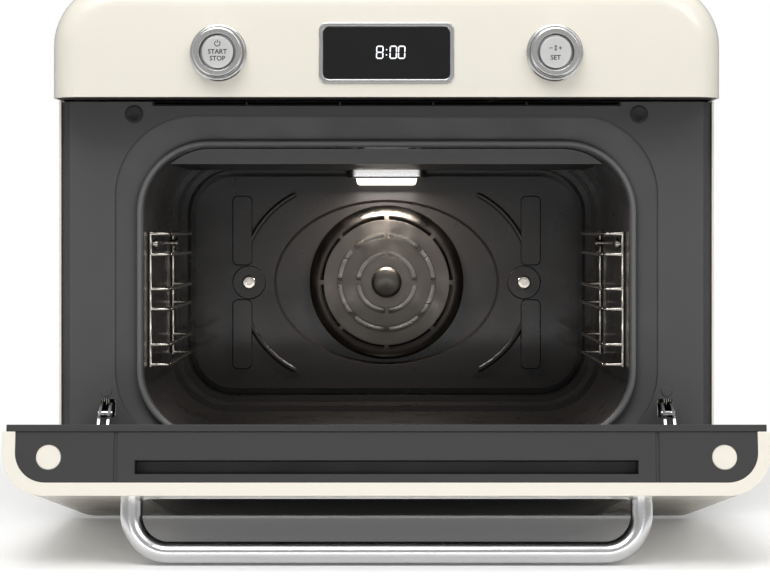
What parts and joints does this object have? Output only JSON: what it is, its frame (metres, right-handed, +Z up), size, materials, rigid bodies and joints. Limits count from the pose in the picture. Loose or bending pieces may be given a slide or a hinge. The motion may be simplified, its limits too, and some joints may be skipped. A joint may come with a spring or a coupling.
{
  "type": "electric countertop oven",
  "caption": "Countertop oven with rounded hood, drop-down door with bar handle, fan-ventilated chamber, wire shelf rails, two dials and a display.",
  "frame": {"origin": "bottom centre of the bounding box with the door open, on the plane of the feet", "axes": "+Z up, +X to the viewer's right, front and open door towards -Y"},
  "size_m": [0.498, 0.6342, 0.4055],
  "materials": {
    "cream_enamel": "gloss",
    "dark_enamel": "satin",
    "cavity_enamel": "gloss",
    "galvanised": "satin",
    "stainless": "satin",
    "guard_steel": "satin",
    "chrome": "polished",
    "satin_silver": "satin",
    "rubber": "matte",
    "dark_plastic": "matte",
    "grey_plastic": "matte",
    "board": "satin",
    "dark_glass": "polished",
    "clear_glass": "polished",
    "lamp_glass": "frosted",
    "copper": "satin"
  },
  "bodies": {
    "casing": {"air_duct": "galvanised", "back_panel": "cavity_enamel", "base_pan": "grey_plastic", "blower_housing": "galvanised", "blower_motor": "copper", "bottom_element": "stainless", "cable_gland": "dark_plastic", "casing_screws": "galvanised", "cavity_liner": "cavity_enamel", "chamber_screws": "stainless", "control_board": "board", "display_bezel": "chrome", "display_module": "dark_plastic", "display_window": "dark_glass", "door_buffers": "rubber", "door_gasket": "rubber", "encoders": "dark_plastic", "fan_guard": "guard_steel", "fan_motor": "galvanised", "fascia_tray": "dark_enamel", "feet": "rubber", "floor_plate": "galvanised", "front_frame": "dark_enamel", "grill_element": "stainless", "grill_shield": "dark_enamel", "hinge_brackets": "galvanised", "hinge_pins": "stainless", "hood": "cream_enamel", "knob_bezels": "chrome", "lamp_bezel": "stainless", "lamp_bulb": "lamp_glass", "lamp_glass": "lamp_glass", "lamp_socket": "galvanised", "rail_studs": "stainless", "rear_panel": "galvanised", "ring_heater": "stainless", "shelf_rails": "chrome", "side_panel_left": "cream_enamel", "side_panel_right": "cream_enamel", "terminal_box": "dark_plastic", "thermal_cutout": "stainless", "vent_grille": "dark_plastic"},
    "door": {"door_end_cap": "dark_plastic", "door_handle": "chrome", "door_inner_glass": "clear_glass", "door_inner_panel": "dark_enamel", "door_outer_glass": "dark_glass", "door_plugs": "cream_enamel", "door_skin": "cream_enamel", "door_stays": "chrome", "door_window_frame": "satin_silver", "handle_screws": "stainless", "hinge_arms": "stainless"},
    "convection_fan": {"convection_fan": "stainless", "fan_shaft": "stainless"},
    "cooling_fan": {"blower_wheel": "dark_plastic"},
    "dial_left": {"dial_ring_left": "satin_silver"},
    "dial_right": {"dial_ring_right": "satin_silver"},
    "button_left": {"dial_button_left": "satin_silver"},
    "button_right": {"dial_button_right": "satin_silver"}
  },
  "joints": [
    {"name": "door_hinge", "type": "hinge", "parent": "casing", "child": "door", "pos_m": [0, -0.04444, 0.05], "axis": [1, 0, 0], "range_deg": [-80.4, 0]},
    {"name": "convection_fan_spin", "type": "hinge", "parent": "casing", "child": "convection_fan", "pos_m": [0, 0.27056, 0.173], "axis": [0, 1, 0], "continuous": true},
    {"name": "cooling_fan_spin", "type": "hinge", "parent": "casing", "child": "cooling_fan", "pos_m": [0.112, 0.21356, 0.3], "axis": [0, 0, 1], "continuous": true},
    {"name": "dial_left_turn", "type": "hinge", "parent": "casing", "child": "dial_left", "pos_m": [-0.1245, -0.09144, 0.3505], "axis": [0, 1, 0], "continuous": true},
    {"name": "button_left_press", "type": "slide", "parent": "casing", "child": "button_left", "axis": [0, 1, 0], "range_m": [0, 0.0015], "stiffness_N_per_m": 600},
    {"name": "dial_right_turn", "type": "hinge", "parent": "casing", "child": "dial_right", "pos_m": [0.1245, -0.09144, 0.3505], "axis": [0, 1, 0], "continuous": true},
    {"name": "button_right_press", "type": "slide", "parent": "casing", "child": "button_right", "axis": [0, 1, 0], "range_m": [0, 0.0015], "stiffness_N_per_m": 600}
  ]
}
